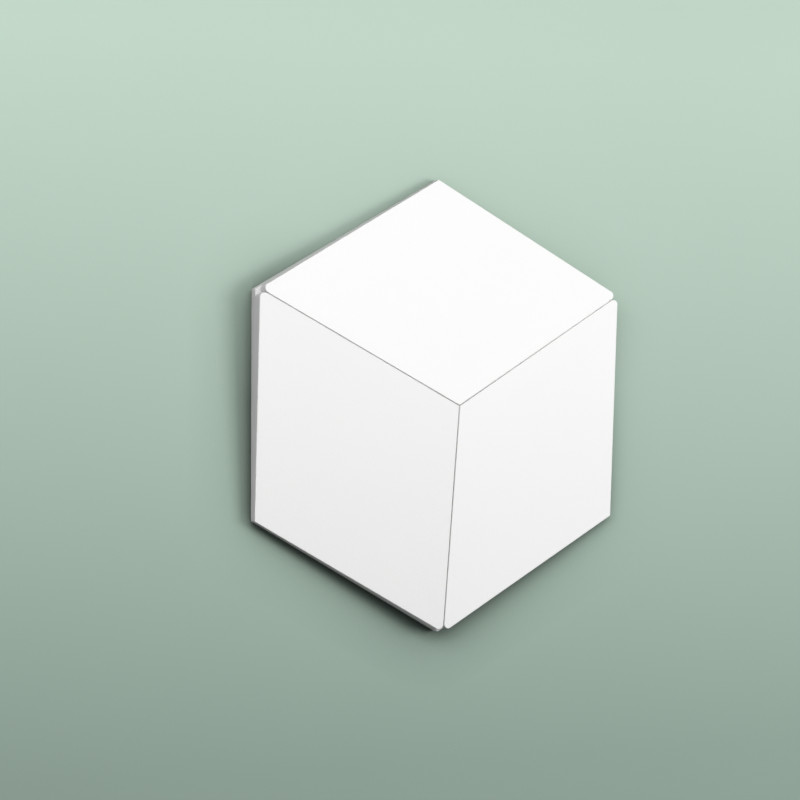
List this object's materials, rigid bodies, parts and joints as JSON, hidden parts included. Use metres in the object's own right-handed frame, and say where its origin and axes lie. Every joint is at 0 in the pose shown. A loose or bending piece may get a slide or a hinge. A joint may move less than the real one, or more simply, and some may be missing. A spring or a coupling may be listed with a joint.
{
  "type": "3d wall panel tile",
  "caption": "Hexagonal relief wall tile with a flat back and three flat leaves that slope down from a peak, set a little off centre, and are parted by narrow seams.",
  "frame": {"origin": "centre of the flat hexagonal back", "axes": "+Z out of the wall from the flat back, +Y towards the upper corner of the hexagon, +X across the flats, to the right as seen from the front"},
  "size_m": [0.329, 0.38, 0.0319],
  "materials": {
    "primed_polyurethane": "matte white primer on cast rigid polyurethane"
  },
  "bodies": {
    "root": {"hexagonal_wall_tile": "primed_polyurethane"}
  },
  "joints": []
}
